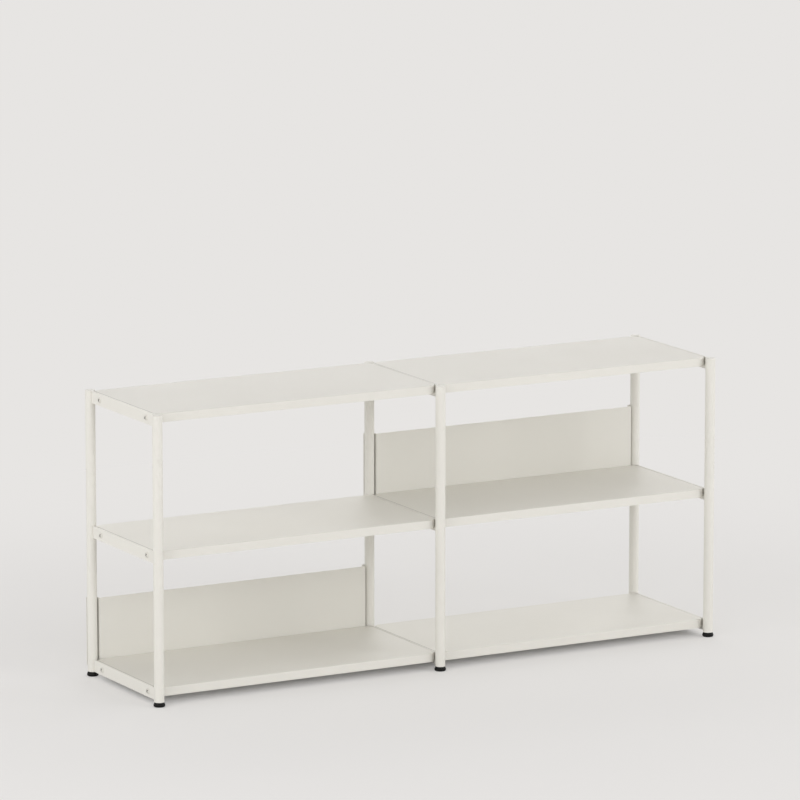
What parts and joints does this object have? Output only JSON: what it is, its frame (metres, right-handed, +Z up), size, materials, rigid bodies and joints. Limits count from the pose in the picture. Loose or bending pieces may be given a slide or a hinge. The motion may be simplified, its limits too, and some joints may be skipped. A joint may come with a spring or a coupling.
{
  "type": "shelving unit",
  "caption": "Wide low shelving unit with round steel posts, flat cross plates, folded tray shelves, part-height back panels and screw-in levelling feet.",
  "frame": {"origin": "centre of the base at floor level, under the middle frame", "axes": "+X along the length to the right seen from the front, +Y towards the back, +Z up"},
  "size_m": [1.6, 0.4, 0.725],
  "materials": {
    "post_paint": "off-white fine powder coat, low gloss",
    "plate_paint": "off-white fine powder coat, low gloss",
    "tray_paint": "off-white fine powder coat, low gloss",
    "panel_paint": "off-white fine powder coat, low gloss",
    "screw_paint": "screws coated in the same off-white",
    "screw_steel": "zinc-plated screw",
    "foot_plastic": "black moulded foot, matt",
    "insert_steel": "turned threaded insert"
  },
  "bodies": {
    "frame": {"post_left_front": "post_paint", "post_left_back": "post_paint", "post_middle_front": "post_paint", "post_middle_back": "post_paint", "post_right_front": "post_paint", "post_right_back": "post_paint", "insert_left_front": "insert_steel", "insert_left_back": "insert_steel", "insert_middle_front": "insert_steel", "insert_middle_back": "insert_steel", "insert_right_front": "insert_steel", "insert_right_back": "insert_steel", "cross_plate_left_bottom": "plate_paint", "cross_plate_left_centre": "plate_paint", "cross_plate_left_top": "plate_paint", "cross_plate_middle_bottom": "plate_paint", "cross_plate_middle_centre": "plate_paint", "cross_plate_middle_top": "plate_paint", "cross_plate_right_bottom": "plate_paint", "cross_plate_right_centre": "plate_paint", "cross_plate_right_top": "plate_paint", "tray_left_bottom": "tray_paint", "tray_left_centre": "tray_paint", "tray_left_top": "tray_paint", "tray_right_bottom": "tray_paint", "tray_right_centre": "tray_paint", "tray_right_top": "tray_paint", "back_panel_left_bottom": "panel_paint", "back_panel_right_centre": "panel_paint", "screw_left_bottom_front": "screw_paint", "screw_left_bottom_back": "screw_paint", "screw_left_centre_front": "screw_paint", "screw_left_centre_back": "screw_paint", "screw_left_top_front": "screw_paint", "screw_left_top_back": "screw_paint", "screw_middle_bottom_front": "screw_paint", "screw_middle_bottom_back": "screw_paint", "screw_middle_centre_front": "screw_paint", "screw_middle_centre_back": "screw_paint", "screw_middle_top_front": "screw_paint", "screw_middle_top_back": "screw_paint", "screw_right_bottom_front": "screw_paint", "screw_right_bottom_back": "screw_paint", "screw_right_centre_front": "screw_paint", "screw_right_centre_back": "screw_paint", "screw_right_top_front": "screw_paint", "screw_right_top_back": "screw_paint", "panel_screw_left_bottom_left": "screw_steel", "panel_screw_left_bottom_right": "screw_steel", "panel_screw_right_centre_left": "screw_steel", "panel_screw_right_centre_right": "screw_steel"},
    "foot_left_front": {"foot_left_front": "foot_plastic"},
    "foot_left_back": {"foot_left_back": "foot_plastic"},
    "foot_middle_front": {"foot_middle_front": "foot_plastic"},
    "foot_middle_back": {"foot_middle_back": "foot_plastic"},
    "foot_right_front": {"foot_right_front": "foot_plastic"},
    "foot_right_back": {"foot_right_back": "foot_plastic"}
  },
  "joints": [
    {"name": "level_left_front", "type": "slide", "parent": "frame", "child": "foot_left_front", "axis": [0, 0, -1], "range_m": [0, 0.01]},
    {"name": "level_left_back", "type": "slide", "parent": "frame", "child": "foot_left_back", "axis": [0, 0, -1], "range_m": [0, 0.01]},
    {"name": "level_middle_front", "type": "slide", "parent": "frame", "child": "foot_middle_front", "axis": [0, 0, -1], "range_m": [0, 0.01]},
    {"name": "level_middle_back", "type": "slide", "parent": "frame", "child": "foot_middle_back", "axis": [0, 0, -1], "range_m": [0, 0.01]},
    {"name": "level_right_front", "type": "slide", "parent": "frame", "child": "foot_right_front", "axis": [0, 0, -1], "range_m": [0, 0.01]},
    {"name": "level_right_back", "type": "slide", "parent": "frame", "child": "foot_right_back", "axis": [0, 0, -1], "range_m": [0, 0.01]}
  ]
}
